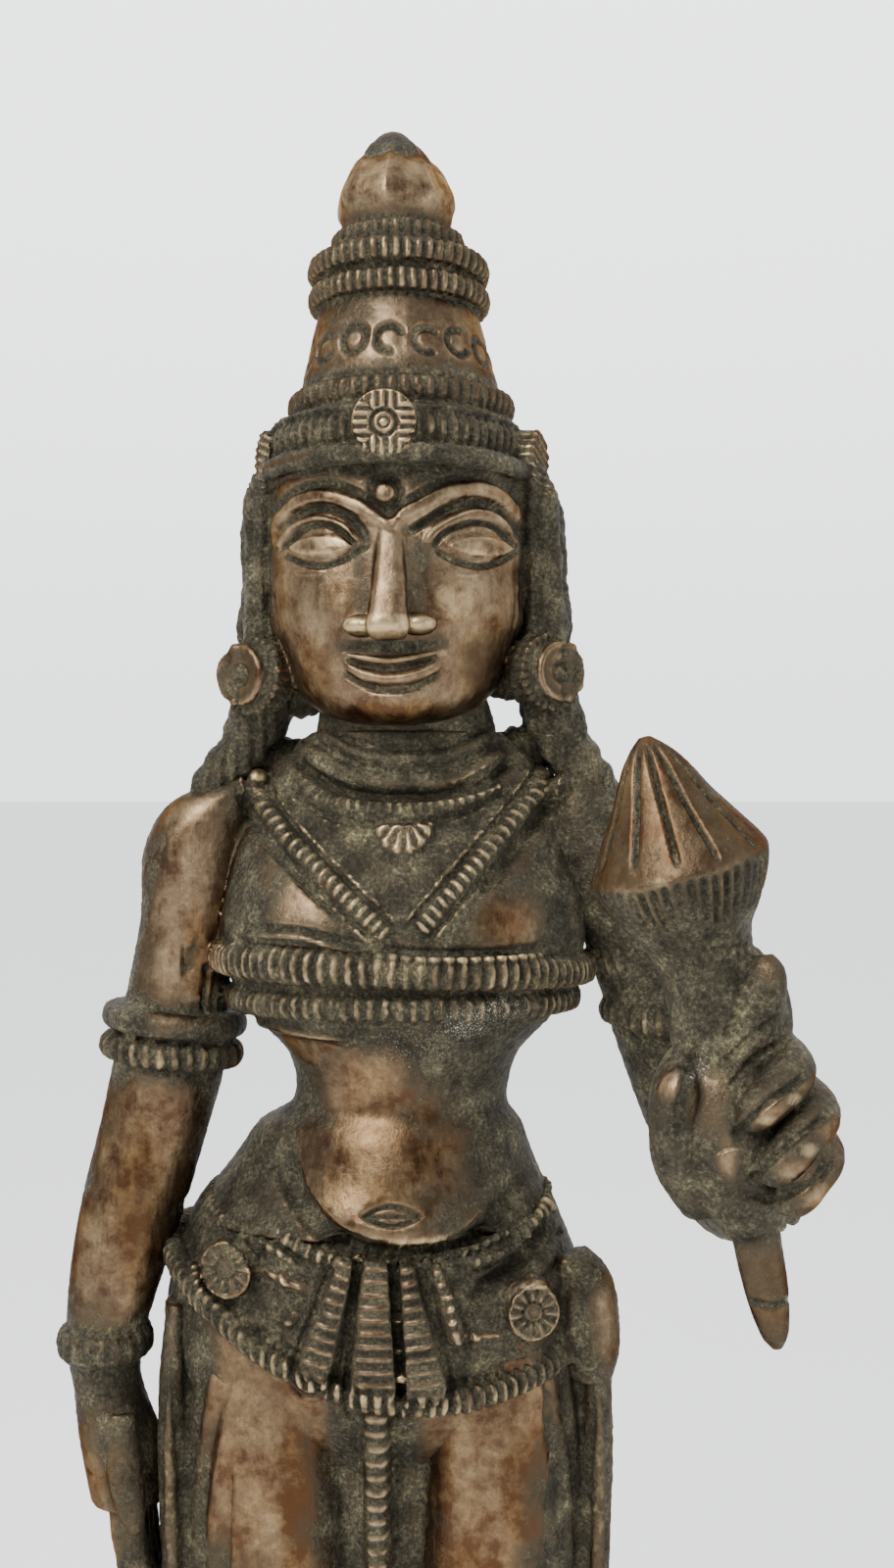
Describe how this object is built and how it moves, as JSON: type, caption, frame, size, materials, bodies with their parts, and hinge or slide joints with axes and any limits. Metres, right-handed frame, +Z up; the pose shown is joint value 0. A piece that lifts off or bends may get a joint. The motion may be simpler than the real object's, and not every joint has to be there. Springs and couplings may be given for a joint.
{
  "type": "lakshmi statue",
  "caption": "Standing bronze goddess with a tall crown, one hand raised to hold a lotus bud, on a low lotus plinth.",
  "frame": {"origin": "middle of the plinth's underside, on the surface that the statue stands on", "axes": "+Z up, -Y the way the goddess faces, +X to her left, which is the viewer's right from the front"},
  "size_m": [0.092, 0.0976, 0.3],
  "materials": {
    "bronze": "old cast bronze: worn copper-brown high points, blotched red-brown, dark green-grey patina with pale dust in the recesses",
    "plinth_bronze": "old cast bronze: darker patina, green-grey in the recesses and brown on the worn edges"
  },
  "bodies": {
    "root": {"figure": "bronze", "plinth": "plinth_bronze"}
  },
  "joints": []
}
